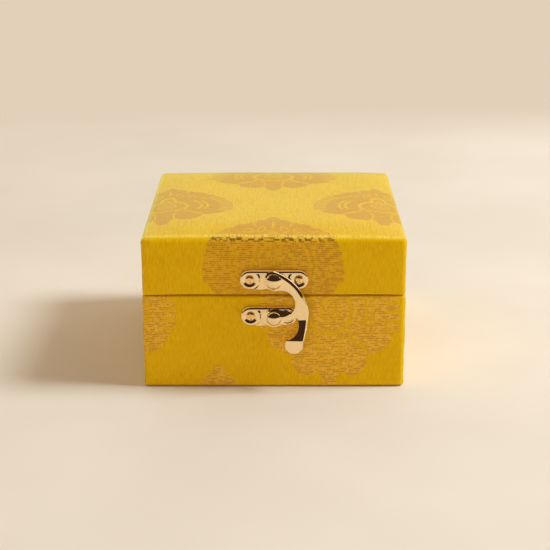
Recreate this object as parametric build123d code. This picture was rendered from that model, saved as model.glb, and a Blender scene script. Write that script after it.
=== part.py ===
from build123d import *
import os

# Square keepsake box covered in brocade, with a hinged lid and a swing hook latch.
# Millimetres. The front faces -Y, +X is to the right seen from the front, +Z is up.
# The origin is the centre of the footprint, on the surface that the box stands on.

# Overall sizes
box_width = 101.6
box_depth = 101.6
box_height = 60.7
lid_height = 22.8
rim_gap = 0.4

# Boards and cloth
board = 3.0
wrap = 0.6
foam = 1.2
board_edge = 1.0
lid_edge_radius = 2.5
corner_radius = 1.2
foot_edge = 0.5
turn_in = 8.0
turn_under = 12.0

# Linings
lining_card = 1.4
rim_step = 1.0
lining_panel = 1.6
floor_pad = 2.0
pad_gap = 0.3
pad_edge = 0.6

# Foot sheet, pasted up to the bottom board inside the turned-under cloth
foot_sheet = 0.5
foot_inset = 3.0
paste_gap = 0.2

# Latch plates, both on the same pattern: two screw lobes, a bar and a raised boss
plate_half_height = 3.7
plate_waist_drop = 0.25
plate_thickness = 1.7
plate_valley = 0.4
plate_edge = 0.55
plate_boss_radius = 4.4
hasp_above_seam = 6.7
latch_spacing = 14.8
hasp_left_screw = 9.3
hasp_right_screw = 9.5
catch_left_screw = 9.0
catch_right_screw = 5.2
recess_radius = 2.35
recess_depth = 0.7

# Rivet and stud
rivet_shank_radius = 1.2
rivet_head_radius = 3.0
rivet_head_rise = 0.9
tail_radius = 2.0
tail_thickness = 0.5
stud_head_radius = 2.85
stud_head_edge = 0.5
stud_head_rise = 0.95
head_gap = 0.25
fixed_gap = 0.02
running_gap = 0.06

# Hook, measured from the rivet
hook_gap = 0.2
hook_thickness = 1.6
hook_boss_radius = 3.4
hook_reach = 13.3
hook_reach_drop = 12.2
hook_shoulder_x = 8.7
hook_shoulder_drop = 2.4
hook_window_x = 2.2
hook_window_drop = 9.4
hook_window_radius = 5.6
hook_claw_radius = 3.6
mouth_gap = 0.25
hook_crook_x = 8.6
hook_crook_drop = 15.7
hook_tail_bulge = 12.6
hook_tail_bulge_drop = 19.0
hook_tail_waist_x = 9.1
hook_tail_waist_drop = 20.0
hook_ball_x = 7.4
hook_ball_drop = 26.5
hook_ball_radius = 3.5
hook_ball_thickness = 2.6
hook_ball_edge = 0.9
hook_ball_back_edge = 0.3
hook_kick = 1.5
hook_kick_start = 18.5
hook_kick_end = 24.0
hook_kick_blend = 3.0
hook_edge = 0.25
facing_front = 0.5
hook_corner_blend = 0.6
hook_crook_blend = 0.8

# Small wood screws, drawn with few sides
screw_shank_radius = 0.8
screw_head_radius = 1.95
screw_head_height = 0.7
screw_head_edge = 0.3
screw_length = 3.4
shank_sides = 8
head_sides = 16

# Butt hinges on the back
hinge_length = 22.0
hinge_leaf_height = 9.5
hinge_leaf = 0.8
hinge_from_corner = 23.0
knuckle_radius = 1.6
knuckle_count = 3
knuckle_gap = 0.15
pin_radius = 0.75
pin_end = 0.25
leaf_corner_radius = 1.2
leaf_relief = 0.2
hinge_screw_shares = (-0.32, 0.32)
hinge_screw_drop = 6.2
hinge_head_radius = 1.5
hinge_head_height = 0.35
hinge_head_edge = 0.2
hinge_screw_length = 3.3

# Overrun for cuts that go right through
over = 1.0

half_width = box_width / 2
half_depth = box_depth / 2
seam_height = box_height - lid_height
lid_rim = seam_height + rim_gap / 2
base_rim = seam_height - rim_gap / 2
wall_inset = wrap + board
lining_inset = wall_inset + wrap
cavity_inset = lining_inset + lining_card
top_board_top = box_height - wrap - foam
top_board_bottom = top_board_top - board
bottom_board_bottom = foot_sheet + wrap
bottom_board_top = bottom_board_bottom + board
hasp_height = seam_height + hasp_above_seam
stud_height = hasp_height - latch_spacing
hook_back = plate_thickness + hook_gap
hook_front = hook_back + hook_thickness


def block(x0, x1, y0, y1, z0, z1):
    middle = Pos((x0 + x1) / 2, (y0 + y1) / 2, (z0 + z1) / 2)
    return middle * Box(x1 - x0, y1 - y0, z1 - z0)


def footprint(inset, z0, z1):
    x = half_width - inset
    y = half_depth - inset
    return block(-x, x, -y, y, z0, z1)


def front_place(x, z, out):
    return Plane(origin=(x, -half_depth - out, z), x_dir=(1, 0, 0), z_dir=(0, -1, 0)).location


def back_place(x, z, out):
    return Plane(origin=(x, half_depth + out, z), x_dir=(-1, 0, 0), z_dir=(0, 1, 0)).location


def cloth_form(z0, z1):
    form = footprint(0, z0, z1)
    return fillet(form.edges().filter_by(Axis.Z), corner_radius)


def board_form(z0, z1):
    form = footprint(wrap, z0, z1)
    return chamfer(form.edges().filter_by(Axis.Z), corner_radius - wrap)


def eased_top(z0, z1, edge):
    plain = footprint(wrap, z0, z1)
    plain = chamfer(plain.faces().sort_by(Axis.Z)[-1].edges(), edge)
    return plain & board_form(z0, z1)


def lid_core():
    return eased_top(lid_rim + wrap, box_height - wrap, lid_edge_radius - wrap)


# Fasteners are drawn along +Z from their seat and then placed.
def cylinder_up(radius, z0, z1):
    return Pos(0, 0, (z0 + z1) / 2) * Cylinder(radius, z1 - z0)


def round_head(radius, edge, rise):
    dome_radius = (radius ** 2 + rise ** 2) / (2 * rise)
    dome = Pos(0, 0, edge + rise - dome_radius) * Sphere(dome_radius)
    column = cylinder_up(radius, 0, edge + rise)
    return column & dome


def sided_rod(radius, sides, z0, z1):
    return Pos(0, 0, z0) * extrude(RegularPolygon(radius, sides), z1 - z0)


def wood_screw(head_radius, head_height, head_edge, length):
    head = sided_rod(head_radius, head_sides, 0, head_height)
    head = chamfer(head.faces().sort_by(Axis.Z)[-1].edges(), head_edge)
    return head + sided_rod(screw_shank_radius, shank_sides, -length, 0)


def pilot_hole(z0, z1):
    return sided_rod(screw_shank_radius + fixed_gap, shank_sides, z0, z1)


def pilot_holes(place, places):
    return Part() + [place(x, z, 0) * pilot_hole(-wall_inset, over) for x, z in places]


hasp_screw_places = [(-hasp_left_screw, hasp_height), (hasp_right_screw, hasp_height)]
catch_screw_places = [(-catch_left_screw, stud_height), (catch_right_screw, stud_height)]
hinge_centres = {"left": hinge_from_corner - half_width, "right": half_width - hinge_from_corner}


def hinge_screw_places(side):
    places = []
    for centre in hinge_centres.values():
        for share in hinge_screw_shares:
            places.append((centre + share * hinge_length, seam_height + side * hinge_screw_drop))
    return places


front_holes = pilot_holes(front_place, hasp_screw_places + catch_screw_places)
back_holes = pilot_holes(back_place, hinge_screw_places(1) + hinge_screw_places(-1))


# Brocade skins: one sheet each, with its hem turned round the rim and glued inside
def make_lid_wrap():
    skin = cloth_form(lid_rim, box_height)
    skin = fillet(skin.faces().sort_by(Axis.Z)[-1].edges(), lid_edge_radius)
    skin -= lid_core()
    skin -= footprint(lining_inset, lid_rim - over, lid_rim + wrap + over)
    hem = footprint(wall_inset, lid_rim + wrap, lid_rim + turn_in)
    hem -= footprint(lining_inset, lid_rim, lid_rim + turn_in + over)
    return skin + hem - front_holes - back_holes


def make_base_wrap():
    skin = cloth_form(foot_sheet, base_rim)
    skin = chamfer(skin.faces().sort_by(Axis.Z)[0].edges(), foot_edge)
    skin -= board_form(bottom_board_bottom, base_rim - wrap)
    skin -= footprint(lining_inset, base_rim - wrap - over, base_rim + over)
    skin -= footprint(turn_under, foot_sheet - over, bottom_board_bottom + over)
    hem = footprint(wall_inset, base_rim - turn_in, base_rim - wrap)
    hem -= footprint(lining_inset, base_rim - turn_in - over, base_rim)
    return skin + hem - front_holes - back_holes


def make_foam():
    return lid_core() & footprint(0, top_board_top, box_height)


def make_top_board():
    return eased_top(top_board_bottom, top_board_top, board_edge)


# Walls: front and back boards run the full width, side boards stand between them
def wall_boards(z0, z1):
    shape = board_form(z0, z1)
    x = half_width
    y = half_depth
    inner_x = half_width - wall_inset
    inner_y = half_depth - wall_inset
    return {
        "front": (shape & block(-x, x, -y, -inner_y, z0, z1)) - front_holes,
        "back": (shape & block(-x, x, inner_y, y, z0, z1)) - back_holes,
        "left": shape & block(-x, -inner_x, -inner_y, inner_y, z0, z1),
        "right": shape & block(inner_x, x, -inner_y, inner_y, z0, z1),
    }


# Lining cards: front and back run the full inner width, side cards between them
def lining_cards(z0, z1):
    outer_x = half_width - lining_inset
    outer_y = half_depth - lining_inset
    inner_x = half_width - cavity_inset
    inner_y = half_depth - cavity_inset
    return {
        "front": block(-outer_x, outer_x, -outer_y, -inner_y, z0, z1),
        "back": block(-outer_x, outer_x, inner_y, outer_y, z0, z1),
        "left": block(-outer_x, -inner_x, -inner_y, inner_y, z0, z1),
        "right": block(inner_x, outer_x, -inner_y, inner_y, z0, z1),
    }


def make_foot_sheet():
    sheet = footprint(foot_inset, 0, foot_sheet)
    return sheet + footprint(turn_under + paste_gap, foot_sheet, bottom_board_bottom)


def padded_panel(z0, z1, soft_side):
    panel = footprint(cavity_inset + pad_gap, z0, z1)
    return chamfer(panel.faces().sort_by(Axis.Z)[soft_side].edges(), pad_edge)


# A latch plate lies in its own XY plane with the rivet or stud at the origin.
def latch_plate(left, right):
    lobes = Sketch() + [Pos(x, 0) * Circle(plate_half_height) for x in (-left, right)]
    bar_height = 2 * (plate_half_height - plate_waist_drop)
    bar = Pos((right - left) / 2, 0) * Rectangle(right + left, bar_height)
    plate = extrude(lobes + bar, plate_thickness)
    plate = chamfer(plate.faces().sort_by(Axis.Z)[-1].edges(), plate_edge)
    valleys = bar - lobes - Circle(plate_boss_radius)
    plate -= Pos(0, 0, plate_thickness - plate_valley) * extrude(valleys, over)
    for x in (-left, right):
        ring = cylinder_up(recess_radius, plate_thickness - recess_depth, plate_thickness + over)
        plate -= Pos(x, 0, 0) * ring
        plate -= Pos(x, 0, 0) * pilot_hole(-over, plate_thickness)
    plate -= cylinder_up(rivet_shank_radius + fixed_gap, -over, plate_thickness + over)
    plate -= cylinder_up(tail_radius + fixed_gap, -over, tail_thickness)
    return plate


def plate_screws(place, left, right):
    screw = wood_screw(screw_head_radius, screw_head_height, screw_head_edge, screw_length)
    seat = plate_thickness - recess_depth
    return Compound(children=[place * Pos(x, 0, seat) * screw for x in (-left, right)])


def make_rivet():
    tail = cylinder_up(tail_radius, 0, tail_thickness)
    shank = cylinder_up(rivet_shank_radius, 0, hook_front + running_gap)
    head = round_head(rivet_head_radius, 0, rivet_head_rise)
    return tail + shank + Pos(0, 0, hook_front + running_gap) * head


def make_stud():
    tail = cylinder_up(tail_radius, 0, tail_thickness)
    neck = cylinder_up(rivet_shank_radius, 0, hook_front + head_gap)
    head = round_head(stud_head_radius, stud_head_edge, stud_head_rise)
    return tail + neck + Pos(0, 0, hook_front + head_gap) * head


def round_near(shape, place, radius):
    corner = shape.vertices().sort_by_distance((*place, 0))[0]
    return fillet(corner, radius)


# The hook is cast flat: a boss on the rivet, a crescent arm round a window, a claw that opens
# sideways along the swing so that it slides on to the stud's neck, and a tail that kicks out
# to a ball for the finger.
def hook_outline():
    claw = Pos(0, -latch_spacing) * Circle(hook_claw_radius)
    shoulder = (hook_shoulder_x, -hook_shoulder_drop)
    reach = (hook_reach, -hook_reach_drop)
    bulge = (hook_tail_bulge, -hook_tail_bulge_drop)
    ball_side = (hook_ball_x + hook_ball_radius, -hook_ball_drop)
    ball_middle = (hook_ball_x, -hook_ball_drop)
    waist = (hook_tail_waist_x, -hook_tail_waist_drop)
    crook = (hook_crook_x, -hook_crook_drop)
    claw_foot = (0, -latch_spacing - hook_claw_radius)
    with BuildLine() as edge:
        ThreePointArc((0, hook_boss_radius), shoulder, reach)
        ThreePointArc(reach, bulge, ball_side)
        Line(ball_side, ball_middle)
        ThreePointArc(ball_middle, waist, crook)
        Line(crook, claw_foot)
        Line(claw_foot, (0, hook_boss_radius))
    arm = make_face(edge.line)
    window = Pos(hook_window_x, -hook_window_drop) * Circle(hook_window_radius)
    shape = arm - window + claw + Circle(hook_boss_radius)
    neck_room = rivet_shank_radius + mouth_gap
    track = Circle(latch_spacing + neck_room) - Circle(latch_spacing - neck_room)
    mouth_size = 2 * hook_claw_radius
    mouth = track & Pos(-mouth_size / 2, -latch_spacing) * Rectangle(mouth_size, 2 * mouth_size)
    shape -= mouth
    shape -= Pos(0, -latch_spacing) * Circle(neck_room)
    shape = round_near(shape, crook, hook_crook_blend)
    claw_top = (hook_claw_radius, -latch_spacing)
    claw_tip = (-hook_claw_radius, -latch_spacing)
    tips = shape.vertices().sort_by_distance((*claw_tip, 0))[:2]
    corners = [reach, claw_top, (hook_boss_radius / 2, hook_boss_radius)]
    for corner in corners + [(tip.X, tip.Y) for tip in tips]:
        shape = round_near(shape, corner, hook_corner_blend)
    return shape


def hook_side():
    top = hook_boss_radius + over
    foot = -hook_ball_drop - hook_ball_radius - over
    start = -hook_kick_start
    end = -hook_kick_end
    kicked = hook_back + hook_kick
    near = [(top, hook_back), (start, hook_back), (end, kicked), (foot, kicked)]
    far = [(y, z + hook_thickness) for y, z in reversed(near)]
    profile = make_face(Polyline(*near, *far, close=True))
    bends = profile.vertices().filter_by_position(Axis.X, end, start)
    profile = Plane.YZ * fillet(bends, hook_kick_blend)
    width = hook_reach + hook_boss_radius
    return extrude(profile, 2 * width, both=True)


def front_edges(body):
    fronts = [f for f in body.faces() if f.normal_at().Z > facing_front]
    rims = [e for f in fronts for e in f.edges()]
    return [e for e in rims if sum(1 for other in rims if other.is_same(e)) == 1]


def make_hook():
    flat = extrude(hook_outline(), hook_front + hook_kick + over)
    body = flat & hook_side()
    body = chamfer(front_edges(body), hook_edge)
    ball = cylinder_up(hook_ball_radius, 0, hook_ball_thickness)
    ball = chamfer(ball.faces().sort_by(Axis.Z)[-1].edges(), hook_ball_edge)
    ball = chamfer(ball.faces().sort_by(Axis.Z)[0].edges(), hook_ball_back_edge)
    body += Pos(hook_ball_x, -hook_ball_drop, hook_back + hook_kick - hook_gap) * ball
    body -= cylinder_up(rivet_shank_radius + running_gap, 0, hook_front + over)
    return body


# A hinge leaf lies flat on the back, with every second knuckle of the barrel.
def hinge_leaf_solid(centre, side, first):
    pitch = hinge_length / knuckle_count
    axis_y = half_depth + knuckle_radius
    x0 = centre - hinge_length / 2
    far = seam_height + side * hinge_leaf_height
    near = seam_height + side * (knuckle_radius + leaf_relief)
    low = min(far, near)
    high = max(far, near)
    leaf = block(x0, x0 + hinge_length, half_depth, half_depth + hinge_leaf, low, high)
    outer = leaf.faces().sort_by(Axis.Z)[-1 if side > 0 else 0].edges().filter_by(Axis.Y)
    leaf = fillet(outer, leaf_corner_radius)
    for number in range(first, knuckle_count, 2):
        a = x0 + number * pitch + knuckle_gap / 2
        b = a + pitch - knuckle_gap
        barrel = Pos((a + b) / 2, axis_y, seam_height) * Rot(0, 90, 0) * Cylinder(knuckle_radius, b - a)
        tongue_low = min(seam_height, near)
        tongue_high = max(seam_height, near)
        tongue = block(a, b, half_depth, half_depth + hinge_leaf, tongue_low, tongue_high)
        leaf += barrel + tongue
    bore_radius = pin_radius + (fixed_gap if first == 0 else running_gap)
    bore = Pos(centre, axis_y, seam_height) * Rot(0, 90, 0) * Cylinder(bore_radius, hinge_length + 2 * over)
    leaf -= bore
    for share in hinge_screw_shares:
        place = back_place(centre + share * hinge_length, seam_height + side * hinge_screw_drop, 0)
        leaf -= place * pilot_hole(-over, hinge_leaf + over)
    return leaf


def hinge_pin(centre):
    axis = Pos(centre, half_depth + knuckle_radius, seam_height) * Rot(0, 90, 0)
    return axis * Cylinder(pin_radius, hinge_length + 2 * pin_end)


def hinge_screws(side):
    screw = wood_screw(hinge_head_radius, hinge_head_height, hinge_head_edge, hinge_screw_length)
    return [back_place(x, z, hinge_leaf) * screw for x, z in hinge_screw_places(side)]


nodes = {}
nodes["lid_wrap"] = make_lid_wrap()
nodes["lid_foam"] = make_foam()
nodes["lid_top_board"] = make_top_board()
nodes["lid_lining_panel"] = padded_panel(top_board_bottom - lining_panel, top_board_bottom, 0)
for name, wall in wall_boards(lid_rim + wrap, top_board_bottom).items():
    nodes[f"lid_{name}_board"] = wall
for name, card in lining_cards(lid_rim + rim_step, top_board_bottom).items():
    nodes[f"lid_{name}_card"] = card

nodes["base_wrap"] = make_base_wrap()
nodes["base_bottom_board"] = board_form(bottom_board_bottom, bottom_board_top)
nodes["base_floor_pad"] = padded_panel(bottom_board_top, bottom_board_top + floor_pad, -1)
nodes["base_foot_sheet"] = make_foot_sheet()
for name, wall in wall_boards(bottom_board_top, base_rim - wrap).items():
    nodes[f"base_{name}_board"] = wall
for name, card in lining_cards(bottom_board_top, base_rim - rim_step).items():
    nodes[f"base_{name}_card"] = card

hasp = front_place(0, hasp_height, 0)
catch = front_place(0, stud_height, 0)
nodes["hasp_plate"] = hasp * latch_plate(hasp_left_screw, hasp_right_screw)
nodes["hasp_plate_screws"] = plate_screws(hasp, hasp_left_screw, hasp_right_screw)
nodes["hook_rivet"] = hasp * make_rivet()
nodes["latch_hook"] = hasp * make_hook()
nodes["catch_plate"] = catch * latch_plate(catch_left_screw, catch_right_screw)
nodes["catch_plate_screws"] = plate_screws(catch, catch_left_screw, catch_right_screw)
nodes["catch_stud"] = catch * make_stud()

for name, centre in hinge_centres.items():
    nodes[f"{name}_hinge_base_leaf"] = hinge_leaf_solid(centre, -1, 0)
    nodes[f"{name}_hinge_lid_leaf"] = hinge_leaf_solid(centre, 1, 1)
    nodes[f"{name}_hinge_pin"] = hinge_pin(centre)
nodes["hinge_base_screws"] = Compound(children=hinge_screws(-1))
nodes["hinge_lid_screws"] = Compound(children=hinge_screws(1))

os.makedirs("parts", exist_ok=True)
for name, solid in nodes.items():
    export_step(solid, f"parts/{name}.step")
    print(name, len(solid.solids()), round(solid.volume, 1))
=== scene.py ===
import bpy
import bmesh
import math
from mathutils import Vector, Matrix


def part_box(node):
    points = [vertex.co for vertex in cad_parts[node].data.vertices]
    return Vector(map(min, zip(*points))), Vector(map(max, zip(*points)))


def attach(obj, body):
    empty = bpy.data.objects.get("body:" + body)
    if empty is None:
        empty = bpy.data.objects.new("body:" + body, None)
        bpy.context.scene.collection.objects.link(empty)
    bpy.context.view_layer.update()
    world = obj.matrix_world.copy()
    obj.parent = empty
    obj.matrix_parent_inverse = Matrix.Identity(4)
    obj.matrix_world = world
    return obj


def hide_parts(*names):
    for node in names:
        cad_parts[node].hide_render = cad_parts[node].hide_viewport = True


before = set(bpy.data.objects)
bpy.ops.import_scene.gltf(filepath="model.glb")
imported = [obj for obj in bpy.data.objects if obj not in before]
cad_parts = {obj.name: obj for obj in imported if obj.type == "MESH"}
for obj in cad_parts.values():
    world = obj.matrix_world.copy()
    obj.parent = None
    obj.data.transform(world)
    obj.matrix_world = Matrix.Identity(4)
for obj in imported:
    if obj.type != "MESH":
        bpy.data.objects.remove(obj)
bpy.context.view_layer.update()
MM = 0.001

# Sizes of the box, in metres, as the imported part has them
HALF = 50.8 * MM
TOP = 60.7 * MM
LID_RIM = 38.1 * MM
BASE_RIM = 37.7 * MM
FOOT = 0.5 * MM
CLOTH = 0.55 * MM
RIM_INSET = 4.2 * MM
CORNER = 2.0 * MM
RIM_EDGE = 1.0 * MM
FOOT_EDGE = 0.9 * MM
HASP_Z = 44.6 * MM
STUD_Z = 29.8 * MM
FACE_Y = -50.8 * MM


# Small modelling helpers
def mm(*lengths):
    """Lengths in millimetres, as metres."""
    return tuple(length * MM for length in lengths)


def link(name, data):
    """A new object with this data, put in the scene."""
    thing = bpy.data.objects.new(name, data)
    bpy.context.scene.collection.objects.link(thing)
    return thing


def deselect_all():
    if bpy.context.object and bpy.context.object.mode != "OBJECT":
        bpy.ops.object.mode_set(mode="OBJECT")
    bpy.ops.object.select_all(action="DESELECT")


def take(piece):
    """Selects this piece alone, as the active one."""
    deselect_all()
    piece.select_set(True)
    bpy.context.view_layer.objects.active = piece


def name_new(name):
    piece = bpy.context.object
    piece.name = name
    piece.data.name = name
    return piece


def settle(piece):
    """Puts the object's place into its mesh, so that the object sits at the origin."""
    take(piece)
    bpy.ops.object.transform_apply(location=True, rotation=True, scale=True)
    return piece


def block(name, low, high):
    deselect_all()
    middle = [(a + b) / 2 for a, b in zip(low, high)]
    bpy.ops.mesh.primitive_cube_add(size=1, location=middle)
    piece = name_new(name)
    piece.scale = [b - a for a, b in zip(low, high)]
    return settle(piece)


def edit(piece, mode="EDGE"):
    take(piece)
    bpy.ops.object.mode_set(mode="EDIT")
    bpy.ops.mesh.select_mode(type=mode)
    bpy.ops.mesh.select_all(action="DESELECT")


def pick_all():
    bpy.ops.mesh.select_all(action="SELECT")


def pick_faces(piece, test):
    mesh = bmesh.from_edit_mesh(piece.data)
    for face in mesh.faces:
        face.select_set(bool(test(face.calc_center_median(), face.normal)))
    bmesh.update_edit_mesh(piece.data)


def pick_edges(piece, test):
    mesh = bmesh.from_edit_mesh(piece.data)
    for edge in mesh.edges:
        a, b = (v.co for v in edge.verts)
        edge.select_set(bool(test((a + b) / 2, b - a)))
    bmesh.update_edit_mesh(piece.data)


def extrude(height):
    """Extrudes what is picked, straight up or down."""
    bpy.ops.mesh.extrude_region_move(TRANSFORM_OT_translate={"value": (0, 0, height)})


def done_editing():
    bpy.ops.object.mode_set(mode="OBJECT")


def modify(piece, kind, **settings):
    """Adds a modifier with its settings and applies it."""
    take(piece)
    modifier = piece.modifiers.new(kind.lower(), kind)
    for key, value in settings.items():
        setattr(modifier, key, value)
    bpy.ops.object.modifier_apply(modifier=modifier.name)


def smooth(piece, degrees=35):
    take(piece)
    bpy.ops.object.shade_smooth_by_angle(angle=math.radians(degrees))


def outward(piece):
    """Merges doubled points and turns the faces outwards."""
    edit(piece)
    pick_all()
    bpy.ops.mesh.remove_doubles(threshold=0.005 * MM)
    bpy.ops.mesh.normals_make_consistent(inside=False)
    done_editing()


def join(pieces, name):
    deselect_all()
    for piece in pieces:
        piece.select_set(True)
    bpy.context.view_layer.objects.active = pieces[0]
    bpy.ops.object.join()
    return name_new(name)


def copy_of(piece, name):
    twin = link(name, piece.data.copy())
    twin.data.name = name
    return twin


def place(piece, body, material, slot_name, *nodes):
    """Gives a piece its material and its body, and hides the CAD nodes that it stands for. Its slot name is
    not used.
    """
    piece.data.materials.clear()
    piece.data.materials.append(material)
    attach(piece, body)
    if nodes:
        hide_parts(*nodes)
    return piece


# Material helpers
def colour(text):
    """An sRGB hex colour as linear RGBA."""
    values = [int(text[i:i + 2], 16) / 255 for i in (1, 3, 5)]
    linear = [v / 12.92 if v <= 0.04045 else ((v + 0.055) / 1.055) ** 2.4 for v in values]
    return (*linear, 1.0)


# The setting that a word after the dot in a node's kind stands for, as in Mix.RGBA
MAIN_SETTING = {"Math": "operation", "Mix": "data_type", "MapRange": "interpolation_type"}
SMOOTH = "MapRange.SMOOTHSTEP"


class Nodes:
    """The node tree of one material or of the world, with one way to add a node."""

    def __init__(self, owner):
        owner.use_nodes = True
        self.owner = owner
        self.tree = owner.node_tree

    def put(self, socket, value):
        if isinstance(value, bpy.types.NodeSocket):
            self.tree.links.new(value, socket)
        elif value is not None:
            socket.default_value = value

    def add(self, kind, *inputs, out=None, **settings):
        """Adds a node with its settings, and fills its open inputs in turn with values or links.

        A kind in capitals, such as ADD, is an operation of a math node.
        """
        kind, _, main = ("Math." + kind if kind.isupper() else kind).partition(".")
        node = self.tree.nodes.new("ShaderNode" + kind)
        if main:
            settings[MAIN_SETTING[kind]] = main
        for key, value in settings.items():
            setattr(node, key, value)
        for socket, value in zip([s for s in node.inputs if s.enabled], inputs):
            self.put(socket, value)
        return node.outputs[out] if out else next(s for s in node.outputs if s.enabled)

    def finish(self, **sockets):
        """Fills the sockets of the material's own shader."""
        shader = self.tree.nodes["Principled BSDF"]
        for key, value in sockets.items():
            self.put(shader.inputs[key.replace("_", " ")], value)
        return self.owner


def material_nodes(name):
    return Nodes(bpy.data.materials.new(name))


# The medallion, drawn by formula in millimetres
class Medallion:
    """A palmette medallion: distances in mm from shapes, negative inside, as node sockets."""

    def __init__(self, nodes, across, along):
        self.add = nodes.add
        self.x = self.add("ABSOLUTE", across)
        self.y = along

    def either(self, shape, *others):
        for other in others:
            shape = self.add("MINIMUM", shape, other)
        return shape

    def both(self, shape, *others):
        for other in others:
            shape = self.add("MAXIMUM", shape, other)
        return shape

    def without(self, a, b):
        return self.both(a, self.add("MULTIPLY", b, -1.0))

    def above(self, level):
        return self.add("SUBTRACT", level, self.y)

    def below(self, level):
        return self.add("SUBTRACT", self.y, level)

    def nearer(self, reach):
        """What lies within this reach of the middle line."""
        return self.add("SUBTRACT", self.x, reach)

    def farther(self, reach):
        return self.add("SUBTRACT", reach, self.x)

    def offset(self, cx, cy):
        return self.add("SUBTRACT", self.x, cx), self.add("SUBTRACT", self.y, cy)

    def length(self, dx, dy):
        squares = self.add("MULTIPLY_ADD", dx, dx, self.add("MULTIPLY", dy, dy))
        return self.add("SQRT", squares)

    def oval(self, cx, cy, rx, ry, turn=0.0):
        """Roughly the distance outside an oval."""
        add = self.add
        dx, dy = self.offset(cx, cy)
        if turn:
            c = math.cos(math.radians(turn))
            s = math.sin(math.radians(turn))
            tx = add("ADD", add("MULTIPLY", dx, c), add("MULTIPLY", dy, s))
            ty = add("SUBTRACT", add("MULTIPLY", dy, c), add("MULTIPLY", dx, s))
            dx, dy = tx, ty
        length = self.length(add("DIVIDE", dx, rx), add("DIVIDE", dy, ry))
        return add("MULTIPLY", add("SUBTRACT", length, 1.0), min(rx, ry))

    def ring(self, distance, half_width):
        return self.add("SUBTRACT", self.add("ABSOLUTE", distance), half_width)

    def petals_round(self, dx, dy, start, end, count):
        """How many petals along its arc a point lies, and the angle from one petal to the next."""
        spacing = math.radians(end - start) / count
        turned = self.add("SUBTRACT", self.add("ARCTAN2", dy, dx), math.radians(start))
        return self.add("DIVIDE", turned, spacing), spacing

    def fan(self, cx, cy, radius, start, end, count, petal):
        """A row of round petal ends along an arc about (cx, cy), from one angle to another."""
        add = self.add
        dx, dy = self.offset(cx, cy)
        share, spacing = self.petals_round(dx, dy, start, end, count)
        number = add("MAXIMUM", add("FLOOR", share), 0.0)
        number = add("MINIMUM", number, count - 1.0)
        middle = add("MULTIPLY_ADD", add("ADD", number, 0.5), spacing, math.radians(start))
        ex = add("SUBTRACT", dx, add("MULTIPLY", add("COSINE", middle), radius))
        ey = add("SUBTRACT", dy, add("MULTIPLY", add("SINE", middle), radius))
        return add("SUBTRACT", self.length(ex, ey), petal)

    def spokes(self, cx, cy, inner, outer, start, end, count, half_width):
        """Thin gaps between the petals, running in towards (cx, cy)."""
        add = self.add
        dx, dy = self.offset(cx, cy)
        length = self.length(dx, dy)
        share, spacing = self.petals_round(dx, dy, start, end, count)
        off = add("ABSOLUTE", add("SUBTRACT", share, add("ROUND", share)))
        width = add("MULTIPLY", add("MULTIPLY", off, spacing), length)
        past_ends = 0.3
        return self.both(
            add("SUBTRACT", width, half_width),
            add("SUBTRACT", inner, length),
            add("SUBTRACT", length, outer),
            add("SUBTRACT", -past_ends, share),
            add("SUBTRACT", share, count + past_ends),
        )

    def figure(self):
        """The outline, and what is left of it between its lines: y runs from -25.8 up to 29.1."""
        # The side petals: middle of their arc, their angles in degrees, and how many
        petals_at = (4.0, -1.5)
        petals_turn = (-12, 46, 7)
        lobe_below = self.oval(8.6, -14.4, 6.2, 6.1)
        # Outline: pointed trefoil tip, stepped shoulders, sides, lobes and the foot
        outline = self.either(
            self.oval(0, 25.2, 2.6, 3.9),
            self.oval(3.6, 23.4, 2.9, 2.3),
            self.oval(7.2, 19.6, 3.4, 3.4),
            self.oval(12.2, 18.2, 3.6, 2.6, -38),
            self.oval(17.0, 14.4, 3.6, 2.6, -42),
            self.oval(0, 11.0, 15.4, 12.2),
            self.fan(*petals_at, 21.0, *petals_turn, 2.2),
            self.oval(6.0, 1.6, 18.8, 12.0),
            self.oval(15.4, -4.2, 9.6, 9.2),
            lobe_below,
            self.oval(0, -13.4, 8.0, 7.6),
            self.oval(0, -21.4, 2.8, 4.4),
        )
        # Ground coloured lines inside it
        bud = self.either(self.oval(0, 0.2, 8.3, 7.2), self.oval(0, 8.4, 2.9, 5.4))
        heart = self.either(self.oval(0, 1.0, 3.6, 3.6), self.oval(0, 5.4, 1.3, 2.6))
        flower = self.fan(0, 1.0, 1.5, -90, 90, 4, 0.72)
        sides = self.both(self.above(-4.6), self.below(8.6))
        collar = self.ring(self.oval(0, 0.6, 14.2, 11.8), 0.5)
        collar_outer = self.ring(self.oval(0, 0.6, 16.6, 13.6), 0.45)
        stem = self.ring(self.oval(9.6, -14.6, 6.0, 9.6), 0.34)
        # The seams between the big lobes, each along its own lobe's edge
        lobe_seam = self.ring(self.oval(16.6, -3.4, 9.0, 8.6), 0.4)
        low_seam = self.ring(lobe_below, 0.3)
        lines = self.either(
            self.ring(bud, 0.66),
            self.ring(heart, 0.34),
            self.ring(flower, 0.2),
            self.both(collar, sides),
            self.both(collar_outer, sides),
            self.spokes(*petals_at, 18.0, 26.0, *petals_turn, 0.6),
            self.ring(self.oval(9.6, 15.4, 1.9, 1.3, -40), 0.24),
            self.ring(self.oval(4.4, 16.6, 1.3, 2.4, 20), 0.22),
            self.oval(0, 20.6, 0.5, 3.0),
            self.oval(14.2, 12.4, 0.4, 3.0, 48),
            self.oval(7.4, 21.6, 0.34, 2.8, -20),
            self.both(stem, self.nearer(6.6), self.below(-7.0)),
            self.both(lobe_seam, self.nearer(15.0), self.below(-1.4)),
            self.both(low_seam, self.farther(7.0), self.above(-13.0)),
        )
        return outline, self.without(outline, lines)


# The weave, in mm: from a column of medallions to the next, how far the rows run askew in
# degrees, and from a row of weft floats to the next
COLUMN = 43.25
ASKEW = 0.6
FLOAT_ROW = 0.70


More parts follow.
